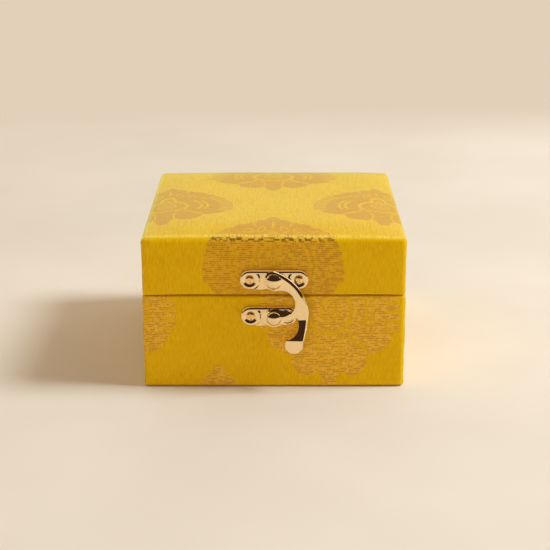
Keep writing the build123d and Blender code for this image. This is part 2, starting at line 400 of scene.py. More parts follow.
def medallions(n, u, v, across, along, half_row, drop, stretch, foot):
    """Medallions in a half drop layout, as the outline and the drawn figure of the nearest.

    One has its middle at (across, along), in mm. A column's rows are two half rows apart, and
    each second column is dropped. The figure is stretched along, and its lower half drawn in.
    """
    add = n.add
    a = add("SUBTRACT", u, across)
    b = add("DIVIDE", add("SUBTRACT", v, along), stretch)
    column = add("ROUND", add("DIVIDE", a, COLUMN))
    odd = add("ABSOLUTE", add("MODULO", column, 2.0))
    a = add("SUBTRACT", a, add("MULTIPLY", column, COLUMN))

    def in_column(from_middle, dropped):
        place = add("SUBTRACT", b, add("MULTIPLY", dropped, drop))
        place = add("WRAP", place, half_row, -half_row)
        place = add("MULTIPLY_ADD", add("MINIMUM", place, 0.0), foot - 1.0, place)
        return Medallion(n, from_middle, place).figure()

    # A medallion is wider than its column, so the neighbour's reaches past the half way line
    beside = add("SUBTRACT", a, add("MULTIPLY", add("SIGN", a), COLUMN))
    own = in_column(a, odd)
    other = in_column(beside, add("SUBTRACT", 1.0, odd))
    return [add("MINIMUM", mine, theirs) for mine, theirs in zip(own, other)]


# Silk brocade: a satin ground of fine warp ribs, and medallions of tan and gold weft floats
# that lie over it. The eye sees a lemon sheen along the ribs and short dashes in the figure.
def silk_brocade(name, layout, wall_from, wall_to, bend_at, golds, faint):
    """The wall starts between two places along the cloth, in mm: on it the floats' dark dashes are painted
    fully, as painted shade, and the figure takes the wall's gold, while the top has a darker gold as
    painted shade.

    On the walls, seen square, the lines in the figure are faint, by the last share.
    """
    n = material_nodes(name)
    add = n.add
    parts = add("SeparateXYZ", add("UVMap", uv_map="cloth")).node.outputs
    u = add("MULTIPLY", parts["X"], 1 / MM)
    v = add("MULTIPLY", parts["Y"], 1 / MM)
    v = add("MULTIPLY_ADD", u, math.tan(math.radians(ASKEW)), v)
    outline, drawn = medallions(n, u, v, *layout)

    def stretched_place(along_u, along_v):
        return add("CombineXYZ", add("MULTIPLY", u, along_u), add("MULTIPLY", v, along_v))

    aside = add("ABSOLUTE", u)
    wall = add(SMOOTH, add("MAXIMUM", aside, v), 49.0, 52.0)
    wall = add("MAXIMUM", add(SMOOTH, v, wall_from, wall_to), wall)
    # A thread's stairs along the edge of the figure
    wobble = add("TexNoise", stretched_place(0.9, 1.8), 1.0, 2.0, 0.5)
    stairs = add("MULTIPLY", add("SUBTRACT", wobble, 0.5), 0.9)
    full = add(SMOOTH, add("ADD", stairs, outline), 0.22, -0.22)
    mask = add(SMOOTH, add("ADD", stairs, drawn), 0.22, -0.22)
    filled = add("MULTIPLY", wall, faint)
    mask = add("MULTIPLY_ADD", add("SUBTRACT", full, mask), filled, mask)

    # Warp ribs about 1 mm apart, each a little different, the threads within them, and threads
    # drawn tighter than their neighbours, in streaks 10 to 20 mm long down the cloth
    ribs = add("TexNoise", stretched_place(1.0, 0.14), 2.3, 3.0, 0.75)
    threads = add("TexNoise", stretched_place(2.6, 0.35), 1.0, 2.0, 0.6)
    streaks = add("TexNoise", stretched_place(1.0, 0.06), 1.3, 2.0, 0.6)
    broad = add("TexNoise", stretched_place(1.0, 1.0), 0.045, 2.0, 0.5)

    # Rows of weft floats, each row broken into dashes of 1 to 3 mm in its own places
    row = add("DIVIDE", v, FLOAT_ROW)
    row_number = add("FLOOR", row)
    ridge = add("SINE", add("MULTIPLY", add("SUBTRACT", row, row_number), math.pi))
    dash_place = add("CombineXYZ", add("MULTIPLY", u, 0.36), add("MULTIPLY", row_number, 7.31))
    dashes = add("TexNoise", dash_place, 1.0, 3.0, 0.65)
    dark_dash = add("MULTIPLY", add(SMOOTH, dashes, 0.44, 0.54), add(SMOOTH, ridge, 0.3, 0.8))

    ground = add("Mix.RGBA", add(SMOOTH, ribs, 0.3, 0.7), colour("#dca804"), colour("#efc60c"))
    slack = add("MULTIPLY", add(SMOOTH, threads, 0.5, 0.75), 0.28)
    ground = add("Mix.RGBA", slack, ground, colour("#c08c00"))
    tight = add("MULTIPLY_ADD", wall, -0.18, 0.28)
    tight = add("MULTIPLY", add(SMOOTH, streaks, 0.5, 0.6), tight)
    ground = add("Mix.RGBA", tight, ground, colour("#c49206"))
    bleached = add("MULTIPLY", add(SMOOTH, broad, 0.4, 0.62), 0.2)
    ground = add("Mix.RGBA", bleached, ground, colour("#eec618"))
    # Painted shade: the figure's gold is a darker, more orange copy on the top than on the walls
    bright = add(SMOOTH, threads, 0.38, 0.68)
    top_gold_painted_shade = add("Mix.RGBA", bright, colour("#ce9014"), colour("#da9c1c"))
    gold_wall = add("Mix.RGBA", bright, colour(golds[0]), colour(golds[1]))
    gold = add("Mix.RGBA", wall, top_gold_painted_shade, gold_wall)
    # Painted shade: the floats' dark dashes are painted darker on the walls than on the top
    wall_dash_painted_shade = add("MULTIPLY", dark_dash, add("MULTIPLY_ADD", wall, 0.4, 0.12))
    figure = add("Mix.RGBA", wall_dash_painted_shade, gold, colour("#a0601a"))
    base = add("Mix.RGBA", mask, ground, figure)

    def band_at(place, outside, inside):
        """A band from side to side of the front, about a place along the cloth."""
        away = add("ABSOLUTE", add("SUBTRACT", v, place))
        return add("MULTIPLY", add(SMOOTH, away, outside, inside), add(SMOOTH, aside, 50.0, 48.0))

    # Painted highlight and painted shade along the front edge, where the cloth bends over it: a pale lemon
    # band on the ribs, and the figure's floats painted dark just below it
    painted_edge_highlight = add("MULTIPLY", band_at(bend_at, 1.5, 0.4), add(SMOOTH, threads, 0.4, 0.58))
    base = add("Mix.RGBA", add("MULTIPLY", painted_edge_highlight, 0.5), base, colour("#fff078"))
    painted_edge_shade = add("MULTIPLY", band_at(bend_at - 1.5, 1.2, 0.3), mask)
    painted_edge_shade = add("MULTIPLY", painted_edge_shade, add(SMOOTH, dashes, 0.46, 0.52))
    base = add("Mix.RGBA", add("MULTIPLY", painted_edge_shade, 0.75), base, colour("#5f3a10"))

    # Relief: the floats stand over the ground, which has the ribs
    rib_height = add("ADD", ribs, add("MULTIPLY", threads, 0.6))
    rib_height = add("MULTIPLY", rib_height, 0.5)
    dash_height = add("MULTIPLY_ADD", dark_dash, -0.5, add("MULTIPLY_ADD", ridge, 0.6, 0.4))
    relief = add("Bump", 0.4, 0.12 * MM, None, add("Mix", mask, rib_height, dash_height))
    # Satin threads run down the cloth, so its gloss spreads across them
    return n.finish(
        Base_Color=base, Roughness=add("MapRange", mask, 0.0, 1.0, 0.40, 0.36), Normal=relief,
        Sheen_Weight=0.9, Sheen_Roughness=0.3, Sheen_Tint=colour("#eefa5a"), IOR=1.6,
        Specular_IOR_Level=0.4, Specular_Tint=colour("#ffe05a"), Anisotropic=0.8,
        Tangent=add("Tangent", direction_type="UV_MAP", uv_map="cloth"),
    )


# Gold plated zinc, cast and polished: a pale champagne mirror, softened by fine casting waves
def plated_zinc():
    n = material_nodes("polished_gold_plated_zinc")
    at = n.add("TexCoord", out="Object")
    waves = n.add("TexNoise", at, 260.0, 2.0, 0.5)
    fine = n.add("TexNoise", at, 2400.0, 2.0, 0.5)
    base = n.add("Mix.RGBA", n.add(SMOOTH, fine, 0.4, 0.62), colour("#f9dba4"), colour("#fde3b4"))
    rough = n.add("MapRange", fine, 0.35, 0.65, 0.04, 0.09)
    bump = n.add("Bump", 0.2, 0.2 * MM, None, waves)
    return n.finish(Base_Color=base, Metallic=1.0, Roughness=rough, Normal=bump)


# Brass strip, pressed and tumbled: satin, with fine lengthwise rolling marks and dull spots
def rolled_brass():
    n = material_nodes("satin_rolled_brass")
    at = n.add("TexCoord", out="Object")
    along_strip = n.add("Mapping", at, None, None, (120.0, 3000.0, 3000.0))
    marks = n.add("TexNoise", along_strip, 1.0, 2.0, 0.6)
    spots = n.add("TexNoise", at, 300.0, 3.0, 0.6)
    base = n.add("Mix.RGBA", n.add(SMOOTH, spots, 0.45, 0.7), colour("#dcb968"), colour("#c49a4a"))
    rough = n.add("MapRange", marks, 0.3, 0.7, 0.22, 0.38)
    bump = n.add("Bump", 0.2, 0.05 * MM, None, marks)
    return n.finish(Base_Color=base, Metallic=1.0, Roughness=rough, Normal=bump)


# Ivory lining satin on card: pale, smooth, with the faint crossing of its threads
def lining_satin():
    n = material_nodes("ivory_lining_satin")
    at = n.add("TexCoord", out="Object")
    down_thread = n.add("Mapping", at, None, None, (2600.0, 2600.0, 240.0))
    warp = n.add("TexNoise", down_thread, 1.0, 2.0, 0.6)
    broad = n.add("TexNoise", at, 60.0, 2.0, 0.5)
    base = n.add("Mix.RGBA", n.add(SMOOTH, warp, 0.4, 0.65), colour("#e6d3ae"), colour("#f1e3c6"))
    toned = n.add("MULTIPLY", n.add(SMOOTH, broad, 0.4, 0.65), 0.25)
    base = n.add("Mix.RGBA", toned, base, colour("#e0c99d"))
    bump = n.add("Bump", 0.35, 0.1 * MM, None, warp)
    return n.finish(Base_Color=base, Roughness=0.44, Normal=bump, Sheen_Weight=0.4,
                    Sheen_Roughness=0.4, Sheen_Tint=colour("#fff6e0"))


# Grey-brown fibreboard: pressed wood fibre with pale flecks
def fibreboard():
    n = material_nodes("pressed_fibreboard")
    at = n.add("TexCoord", out="Object")
    fibres = n.add("TexNoise", at, 900.0, 4.0, 0.7)
    flecks = n.add("TexNoise", at, 2600.0, 2.0, 0.6)
    base = n.add("Mix.RGBA", n.add(SMOOTH, fibres, 0.35, 0.65), colour("#8f7450"), colour("#b39669"))
    flecked = n.add("MULTIPLY", n.add(SMOOTH, flecks, 0.6, 0.75), 0.5)
    base = n.add("Mix.RGBA", flecked, base, colour("#d6c29a"))
    return n.finish(Base_Color=base, Roughness=0.86, Normal=n.add("Bump", 0.4, 0.1 * MM, None, fibres))


# Polyether foam sheet: open cells a fraction of a millimetre wide, off-white
def foam_sheet():
    n = material_nodes("polyether_foam")
    cells = n.add("TexVoronoi", n.add("TexCoord", out="Object"), 2200.0)
    base = n.add("Mix.RGBA", n.add(SMOOTH, cells, 0.1, 0.6), colour("#cfc7ac"), colour("#f1ecda"))
    return n.finish(Base_Color=base, Roughness=0.9, Normal=n.add("Bump", 0.6, 0.2 * MM, None, cells))


# Pasted cover paper under the foot: matt, laid, faintly mottled
def foot_paper():
    n = material_nodes("pasted_laid_paper")
    at = n.add("TexCoord", out="Object")
    laid = n.add("TexNoise", n.add("Mapping", at, None, None, (120.0, 1800.0, 1.0)), 1.0, 2.0, 0.6)
    mottle = n.add("TexNoise", at, 90.0, 3.0, 0.6)
    base = n.add("Mix.RGBA", n.add(SMOOTH, laid, 0.4, 0.65), colour("#d8c69c"), colour("#e4d6b3"))
    mottled = n.add("MULTIPLY", n.add(SMOOTH, mottle, 0.4, 0.7), 0.3)
    base = n.add("Mix.RGBA", mottled, base, colour("#c9b586"))
    return n.finish(Base_Color=base, Roughness=0.82, Normal=n.add("Bump", 0.3, 0.08 * MM, None, laid))


# Each layout: a medallion's middle across and along, half a row, the drop of each second
# column, the stretch along, and how much its lower half is drawn in. The base has no bend and
# is wall all over, so its bend and its wall's start lie off the cloth.
lid_brocade = silk_brocade(
    "silk_brocade_lid", layout=(-0.3, -56.3, 45.5, 44.5, 1.0, 1.14), wall_from=-37.0, wall_to=-45.5,
    bend_at=-44.9, golds=("#dba428", "#e8b636"), faint=0.6,
)
base_brocade = silk_brocade(
    "silk_brocade_base", layout=(21.5, 31.5, 47.6, -46.2, 1.3, 1.0), wall_from=200.0, wall_to=100.0,
    bend_at=300.0, golds=("#eab537", "#f6c647"), faint=0.25,
)
zinc = plated_zinc()
brass = rolled_brass()
satin = lining_satin()
board_stock = fibreboard()
foam_stock = foam_sheet()
paper = foot_paper()


# The cloth skins
LID_EDGE = 2.0 * MM
LID_CROWN = 2.0 * MM
CROWN_FALL = 20 * MM
HEM = 7.4 * MM
# The hem under the foot, as it lies and as the flat cloth has it
FOOT_HEM = 11 * MM
# Edges over these lengths run from side to side of the box, or up a wall
SIDE_TO_SIDE = 60 * MM
UP_A_WALL = 5 * MM
# The cloth that lies on a wall, from its outside in
WALL_BAND = 1.5 * MM


def ring_cuts(piece, axis, count, least):
    """Cuts every long edge along one axis, which runs a set of loops round the piece."""
    edit(piece)
    pick_edges(piece, lambda m, d: abs(d[axis]) > least and abs(d[axis]) > 0.98 * d.length)
    bpy.ops.mesh.subdivide(number_cuts=count)
    done_editing()


def round_off(piece, width, segments, share):
    """Rounds a block's edges, each by its own share of the width, which its middle gives."""
    take(piece)
    weights = piece.data.attributes.new("bevel_weight_edge", "FLOAT", "EDGE")
    for edge in piece.data.edges:
        a, b = (piece.data.vertices[i].co for i in edge.vertices)
        weights.data[edge.index].value = share((a + b) / 2)
    modify(piece, "BEVEL", width=width, segments=segments, limit_method="WEIGHT", profile=0.5)
    piece.data.attributes.remove(piece.data.attributes["bevel_weight_edge"])


def draw_in(distance):
    """Extrudes the picked face level and draws it in towards the middle of the box."""
    extrude(0)
    share = (HALF - distance) / HALF
    bpy.ops.transform.resize(value=(share, share, 1))


def turn_rim(skin, way):
    """Turns the rim in over the boards, and runs its hem on inside, up (1) or down (-1)."""
    edit(skin, "FACE")
    pick_faces(skin, lambda c, nrm: nrm.z * way < -0.9)
    draw_in(RIM_INSET)
    extrude(way * HEM)
    bpy.ops.mesh.delete(type="FACE")


def small_squares(skin, wall_loops):
    """Cuts the cloth into small squares, which can then be pushed in and out."""
    for axis in (0, 1):
        ring_cuts(skin, axis, 25, SIDE_TO_SIDE)
    ring_cuts(skin, 2, wall_loops, UP_A_WALL)
    modify(skin, "SUBSURF", levels=1, render_levels=1, subdivision_type="SIMPLE")


def move_wall(point, way, side, front):
    """Moves a wall's point out (1) or in (-1), by one size on the side walls and one on the others."""
    if abs(point.x) > abs(point.y):
        point.x += way * math.copysign(side, point.x)
    else:
        point.y += way * math.copysign(front, point.y)


def cloth_uv(piece, unfold):
    """Gives the cloth its own map: where each point lay on the flat cloth, in metres."""
    piece.data.uv_layers.new(name="cloth")
    for other in list(piece.data.uv_layers):
        if other.name != "cloth":
            piece.data.uv_layers.remove(other)
    layer = piece.data.uv_layers["cloth"]
    for polygon in piece.data.polygons:
        for index in polygon.loop_indices:
            point = piece.data.vertices[piece.data.loops[index].vertex_index].co
            layer.data[index].uv = unfold(point, polygon.center, polygon.normal)


def finish_cloth(skin, unfold):
    cloth_uv(skin, unfold)
    modify(skin, "SOLIDIFY", thickness=CLOTH, offset=-1)
    smooth(skin, 40)
    return skin


def wave(a, b, seed):
    """A gentle unevenness, the sum of a few sines, about -1 to 1."""
    waves = ((a * 61, 1.0), (b * 83, 1.7), ((a + b) * 131, 2.3))
    return sum(math.sin(at + seed * shift) for at, shift in waves) / 3


def edge_fall(distance):
    """How much of the crown is left at this distance in from an edge: 0 at it, 1 well inside."""
    share = min(max(distance / CROWN_FALL, 0.0), 1.0)
    return 1 - (1 - share) ** 2.2


def over_rim(point):
    """How far in over the rim a point lies from the wall's outside."""
    return HALF - max(abs(point.x), abs(point.y))


def make_lid_skin():
    edge_low = TOP - LID_EDGE
    # Over foam the cloth puckers, and at the rim it hangs a touch lower at the corners
    settled = 0.1 * MM
    pucker = 0.12 * MM
    rim_band = 6 * MM
    rim_hang = 0.22 * MM
    rim_waver = 0.10 * MM
    # Over board it lies in slight hollows
    hollow = 0.10 * MM
    side_in = 0.12 * MM
    skin = block("lid_brocade_skin", (-HALF, -HALF, LID_RIM), (HALF, HALF, TOP))
    round_off(skin, LID_EDGE, 6, lambda m: CORNER / LID_EDGE if abs(m.z - (LID_RIM + TOP) / 2) < MM
              else 1.0 if m.z > TOP - MM else RIM_EDGE / LID_EDGE)
    turn_rim(skin, 1)
    done_editing()
    small_squares(skin, 6)
    for vertex in skin.data.vertices:
        x, y, z = vertex.co
        inside = min(HALF - abs(x), HALF - abs(y))
        if z > edge_low - settled:
            lift = LID_CROWN * edge_fall(HALF - abs(x)) * edge_fall(HALF - abs(y))
            share = (z - edge_low) / LID_EDGE
            vertex.co.z += (lift - settled + pucker * wave(x, y, 1.3)) * share
        elif inside < 2 * WALL_BAND and z < LID_RIM + rim_band:
            low = 1 - (z - LID_RIM) / rim_band
            corner = (max(abs(x), abs(y)) / HALF) ** 6 * (min(abs(x), abs(y)) / HALF) ** 6
            vertex.co.z -= (rim_hang * corner + rim_waver * wave(x * 1.4, y * 1.4, 0.4)) * low
        if inside < WALL_BAND and z < edge_low:
            push = hollow * wave(x + y, z * 2, 2.1)
            move_wall(vertex.co, -1, push - side_in, push * 0.5)

    flat = HALF - LID_EDGE

    def past(value, height):
        """How far along the cloth from the middle a point is, over the edge and down."""
        if abs(value) < flat and height > TOP - LID_EDGE * 0.9:
            return value
        if height > edge_low and abs(value) >= flat:
            angle = math.atan2(abs(value) - flat, max(height - edge_low, 1e-6))
            return math.copysign(flat + angle * LID_EDGE, value)
        return math.copysign(flat + math.pi / 2 * LID_EDGE + (edge_low - height), value)

    def unfold(point, centre, normal):
        on_front = abs(centre.y) >= abs(centre.x)
        if centre.z > edge_low:
            return (point.x if on_front else past(point.x, point.z),
                    past(point.y, point.z) if on_front else point.y)
        height = LID_RIM - over_rim(point) if normal.z < -0.7 else point.z
        if on_front:
            return (point.x, past(math.copysign(HALF, centre.y), height))
        return (past(math.copysign(HALF, centre.x), height), point.y)

    def pulled(point, centre, normal):
        """The cloth is stretched where it is pulled over the padded front edge."""
        across, along = unfold(point, centre, normal)
        pull_from = -24 * MM
        return (across, along if along > pull_from else pull_from + (along - pull_from) * 0.86)

    return finish_cloth(skin, pulled)


def make_base_skin():
    # The walls swell most at this height over the foot, and draw in at the foot itself
    swell_high = 9 * MM
    swell_apart = 24 * MM
    foot_band = 4 * MM
    rim_band = 0.5 * MM
    catch_low = 20 * MM
    skin = block("base_brocade_skin", (-HALF, -HALF, FOOT), (HALF, HALF, BASE_RIM))
    round_off(skin, CORNER, 4, lambda m: 1.0 if abs(m.z - (FOOT + BASE_RIM) / 2) < MM
              else FOOT_EDGE / CORNER if m.z < FOOT + MM else RIM_EDGE / CORNER)
    turn_rim(skin, -1)
    pick_faces(skin, lambda c, nrm: nrm.z < -0.9)
    draw_in(FOOT_HEM)
    bpy.ops.mesh.delete(type="FACE")
    done_editing()
    small_squares(skin, 10)
    for vertex in skin.data.vertices:
        x, y, z = vertex.co
        inside = min(HALF - abs(x), HALF - abs(y))
        if inside < WALL_BAND and z < BASE_RIM - rim_band:
            swell = 0.30 * math.cos((z - swell_high) / swell_apart * 2 * math.pi) - 0.12
            swell -= 0.25 * max(0, 1 - z / foot_band)
            along = 1 - 0.5 * (min(abs(x), abs(y)) / HALF) ** 6
            push = (swell * along - 0.06 * wave(x + y, z * 2, 4.1)) * MM
            # The front stays flat where the catch plate lies on it
            move_wall(vertex.co, 1, push, 0.6 * push if y > 0 or z < catch_low else 0)

    def unfold(point, centre, normal):
        if abs(centre.y) >= abs(centre.x):
            along = point.x if centre.y < 0 else 4 * HALF - point.x
        else:
            along = HALF + (point.y + HALF) if centre.x > 0 else -HALF - (point.y + HALF)
        return (along, BASE_RIM + over_rim(point) if normal.z > 0.7 else point.z)

    return finish_cloth(skin, unfold)


lid_skin = place(make_lid_skin(), "lid", lid_brocade, "brocade", "lid_wrap")
base_skin = place(make_base_skin(), "base", base_brocade, "brocade", "base_wrap")


# Padded pieces
def make_pad(name, half, low, high, edge, crown, down):
    """A thin pad with rounded edges, crowned on its soft side, with its sides drawn in."""
    pucker = 0.12 * MM
    sides_in = 0.5 * MM
    pad = block(name, (-half, -half, low), (half, half, high))
    edit(pad)
    pick_edges(pad, lambda m, d: abs(d.z) > 0.9 * d.length)
    bpy.ops.mesh.bevel(offset=edge * 1.6, segments=4, profile=0.5)
    side = -1 if down else 1
    bpy.ops.mesh.select_mode(type="FACE")
    pick_faces(pad, lambda c, nrm: nrm.z * side > 0.9)
    bpy.ops.mesh.region_to_loop()
    bpy.ops.mesh.bevel(offset=edge, segments=4, profile=0.5, clamp_overlap=False)
    done_editing()
    for axis in (0, 1):
        ring_cuts(pad, axis, 29, half)
    for vertex in pad.data.vertices:
        x, y, z = vertex.co
        inner = (half - abs(x)) * (half - abs(y)) / half ** 2
        soft = (z - low) / (high - low) if side > 0 else (high - z) / (high - low)
        rise = crown * min(max(inner * 3.2, 0), 1) ** 0.5
        vertex.co.z += side * soft * (rise + pucker * wave(x * 3, y * 3, 5.2))
        if max(abs(x), abs(y)) > 0.8 * half:
            inward = sides_in * (1 - (min(abs(x), abs(y)) / half) ** 2)
            move_wall(vertex.co, -1, inward, inward)
    modify(pad, "SUBSURF", levels=1, render_levels=1)
    smooth(pad, 60)
    return pad


foam_low, foam_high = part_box("lid_foam")
# The foam's crown swells past its sides and its top, so it starts a little smaller
foam_pad = make_pad("lid_foam_sheet", foam_high.x - 0.4 * MM, foam_low.z, foam_high.z - 0.3 * MM,
                    edge=0.6 * MM, crown=1.6 * MM, down=False)
place(foam_pad, "lid", foam_stock, "foam", "lid_foam")
panel_low, panel_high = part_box("lid_lining_panel")
panel = make_pad("lid_lining_pad", panel_high.x, panel_low.z, panel_high.z,
                 edge=0.6 * MM, crown=0.3 * MM, down=True)
place(panel, "lid", satin, "lining_pad", "lid_lining_panel")
floor_low, floor_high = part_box("base_floor_pad")
floor_pad = make_pad("base_floor_cushion", floor_high.x, floor_low.z, floor_high.z,
                     edge=0.7 * MM, crown=0.7 * MM, down=False)
place(floor_pad, "base", satin, "lining_pad", "base_floor_pad")

# The latch: a plate's screws lie this far left and right of its boss
HASP_REACH = mm(9.3, 9.5)
CATCH_REACH = mm(9.0, 5.2)
PLATE_HALF = 3.9 * MM
PLATE_THICK = 1.7 * MM
PLATE_EDGE = 1.05 * MM
PLATE_CHAMFER = 0.1 * MM
VALLEY_DEPTH = 0.7 * MM
# The cones that the valleys leave: their radii below the plate's face, and above it
LOBE_FOOT = 4.4 * MM
BOSS_FOOT = 5.8 * MM
CONE_TOP = 2.8 * MM
CONE_REACH = 0.8 * MM
SEAT_DEPTH = 0.75 * MM
SEAT_WIDE = 2.7 * MM
SEAT_NARROW = 1.55 * MM
SCREW_RADIUS = 1.6 * MM
SCREW_HEIGHT = 0.7 * MM
# How far a cutting tool reaches past what it cuts
OVERRUN = 0.3 * MM


def at_front(piece, z):
    """Takes a piece made flat, facing up, with its middle at the origin, to the box's front."""
    turn = Matrix.Rotation(math.radians(90), 4, "X")
    piece.data.transform(Matrix.Translation((0, FACE_Y, z)) @ turn)
    return piece


def move(piece, x, y, degrees=0):
    """Turns a flat piece about Z and moves it, by lengths in mm."""
    turn = Matrix.Rotation(math.radians(degrees), 4, "Z")
    piece.data.transform(Matrix.Translation(mm(x, y, 0)) @ turn)


def cut(piece, *tools):
    """Cuts each tool out of a piece, and removes the tool."""
    for tool in tools:
        modify(piece, "BOOLEAN", object=tool, operation="DIFFERENCE", solver="EXACT")
        bpy.data.objects.remove(tool)


def chamfer(piece, width, degrees):
    """Breaks the edges that turn by more than this."""
    modify(piece, "BEVEL", width=width, segments=2, limit_method="ANGLE", angle_limit=math.radians(degrees))


def cone(name, x, low_radius, high_radius, low, high, sides=48):
    deselect_all()
    bpy.ops.mesh.primitive_cone_add(vertices=sides, radius1=low_radius, radius2=high_radius,
                                    depth=high - low, location=(x, 0, (low + high) / 2))
    return settle(name_new(name))


def lathe(name, profile, steps=48):
    """Turns a profile of (radius, height) points round Z."""
    mesh = bpy.data.meshes.new(name)
    mesh.from_pydata([(r, 0, z) for r, z in profile], [(i, i + 1) for i in range(len(profile) - 1)], [])
    piece = link(name, mesh)
    edit(piece)
    pick_all()
    bpy.ops.mesh.spin(steps=steps, angle=2 * math.pi, center=(0, 0, 0), axis=(0, 0, 1))
    done_editing()
    outward(piece)
    return piece


def make_plate(name, left, right):
    """Two round lobes joined by a bar, with a raised boss in the middle and ringed screw seats."""
    deselect_all()
    bpy.ops.mesh.primitive_circle_add(vertices=64, radius=PLATE_HALF, fill_type="NGON")
    plate = name_new(name)
    for vertex in plate.data.vertices:
        vertex.co.x += right if vertex.co.x > 0 else -left
    edit(plate, "FACE")
    pick_all()
    extrude(PLATE_THICK)
    bpy.ops.mesh.select_mode(type="FACE")
    pick_faces(plate, lambda c, nrm: c.z > 0.9 * PLATE_THICK)
    bpy.ops.mesh.region_to_loop()
    bpy.ops.mesh.bevel(offset=PLATE_EDGE, segments=5, profile=0.5)
    done_editing()
    outward(plate)
    # The valleys between the lobes and the boss, which leave a cone standing at each
    valley = block("valley_tool", (*mm(-40, -9), PLATE_THICK - VALLEY_DEPTH), mm(40, 2.7, 5))
    for x, foot_radius in ((-left, LOBE_FOOT), (right, LOBE_FOOT), (0, BOSS_FOOT)):
        reach = (PLATE_THICK - CONE_REACH, PLATE_THICK + CONE_REACH)
        cut(valley, cone("keep_tool", x, foot_radius, CONE_TOP, *reach))
    cut(plate, valley)
    # A screw's seat is a funnel, and the tool goes on at its slope above the plate
    slope = (SEAT_WIDE - SEAT_NARROW) / SEAT_DEPTH
    for x in (-left, right):
        cut(plate, cone("seat_tool", x, SEAT_NARROW, SEAT_WIDE + slope * OVERRUN, PLATE_THICK - SEAT_DEPTH,
                        PLATE_THICK + OVERRUN))
    chamfer(plate, PLATE_CHAMFER, 28)
    smooth(plate, 25)
    return plate


def make_screw_head(name, radius, height):
    """A low domed head with a cross of two shallow grooves in it."""
    foot = -0.1 * MM
    head = lathe(name, [(0, foot), (radius, foot), (radius, height * 0.35), (radius * 0.93, height * 0.62),
                        (radius * 0.7, height * 0.88), (radius * 0.35, height), (0, height * 1.04)], 40)
    for x, y in ((radius * 0.75, radius * 0.25), (radius * 0.25, radius * 0.75)):
        tool = block("cross_tool", (-x, -y, height * 0.35), (x, y, height * 1.15))
        for vertex in tool.data.vertices:
            if vertex.co.z < height:
                vertex.co.x *= 0.8 if x > y else 0.1
                vertex.co.y *= 0.8 if y > x else 0.1
        cut(head, tool)
    smooth(head, 35)
    return head


hasp_plate = at_front(make_plate("hasp_casting", *HASP_REACH), HASP_Z)
catch_plate = at_front(make_plate("catch_casting", *CATCH_REACH), STUD_Z)
place(hasp_plate, "lid", zinc, "latch_gold", "hasp_plate")
place(catch_plate, "base", zinc, "latch_gold", "catch_plate")

screw_model = make_screw_head("screw_model", SCREW_RADIUS, SCREW_HEIGHT)


def set_screws(name, reach, z, body, node):
    """A screw in each seat of a plate, each turned a little further than the last."""
    heads = []
    for number, x in enumerate((-reach[0], reach[1])):
        twin = copy_of(screw_model, f"{name}_{number}")
        turn = Matrix.Rotation(0.25 + number * 0.4, 4, "Z")
        twin.data.transform(Matrix.Translation((x, 0, PLATE_THICK - SEAT_DEPTH)) @ turn)
        heads.append(at_front(twin, z))
    place(join(heads, name), body, zinc, "latch_gold", node)


set_screws("hasp_screw_heads", HASP_REACH, HASP_Z, "lid", "hasp_plate_screws")
set_screws("catch_screw_heads", CATCH_REACH, STUD_Z, "base", "catch_plate_screws")
bpy.data.objects.remove(screw_model)

HOOK_BACK = 1.9 * MM
HOOK_FRONT = 3.5 * MM
HOOK_CHAMFER = 0.14 * MM
SHANK = 1.2 * MM
SHANK_FOOT = 0.2 * MM
DOME_RISE = 1.45 * MM


def make_domed_pin(name, radius, under, z, body, node):
    """A pin with a domed head: under is what lies below the dome, as (radius, height past the hook)."""
    ball = (radius ** 2 + DOME_RISE ** 2) / (2 * DOME_RISE)
    edge = HOOK_FRONT + under[-1][1]
    profile = [(0, SHANK_FOOT), (SHANK, SHANK_FOOT), (SHANK, HOOK_FRONT + under[0][1])]
    profile += [(r, HOOK_FRONT + past) for r, past in under[:-1]]
    steps = 10
    for i in range(steps + 1):
        r = radius * (1 - i / steps)
        profile.append((r, edge + DOME_RISE - ball + math.sqrt(ball ** 2 - r ** 2)))
    pin = lathe(name, profile, 64)
    smooth(pin, 40)
    place(at_front(pin, z), body, zinc, "latch_gold", node)


make_domed_pin("hook_rivet_turned", 3.0 * MM, [mm(3.0, 0.06), mm(3.0, 0.22)], HASP_Z, "lid", "hook_rivet")
make_domed_pin("catch_stud_turned", 2.85 * MM, [mm(2.6, 0.25), mm(2.85, 0.45), mm(2.85, 0.65)], STUD_Z,
               "base", "catch_stud")


def arc(cx, cy, radius, start, end, count):
    points = []
    for i in range(count + 1):
        angle = math.radians(start + (end - start) * i / count)
        points.append((cx + radius * math.cos(angle), cy + radius * math.sin(angle)))
    return points


def circle_through(a, via, b):
    """The middle and the radius of the circle through three points."""
    (ax, ay), (vx, vy), (bx, by) = a, via, b
    a2, v2, b2 = (x ** 2 + y ** 2 for x, y in (a, via, b))
    d = 2 * (ax * (vy - by) + vx * (by - ay) + bx * (ay - vy))
    x = (a2 * (vy - by) + v2 * (by - ay) + b2 * (ay - vy)) / d
    y = (a2 * (bx - vx) + v2 * (ax - bx) + b2 * (vx - ax)) / d
    return (x, y), math.dist((x, y), a)


def bow(a, via, b, count):
    """An arc through three points."""
    (x, y), radius = circle_through(a, via, b)
    start, middle, end = (math.degrees(math.atan2(p[1] - y, p[0] - x)) for p in (a, via, b))
    turn = (end - start) % 360
    if (middle - start) % 360 > turn:
        turn -= 360
    return arc(x, y, radius, start, start + turn, count)


# The hook's outer arm and its tail, as arcs through three points in mm from the rivet, and how
# far below the rivet the tail starts to kick out, where it ends to, and by how much
ARM_BOW = ((13.3, -11.8), (9.0, -2.2), (0.0, 4.0))
TAIL_BOW = ((11.2, -24.2), (12.8, -17.8), (13.3, -12.2))
KICK_FROM = 15.5
KICK_TO = 23.3
KICK = 2.3 * MM


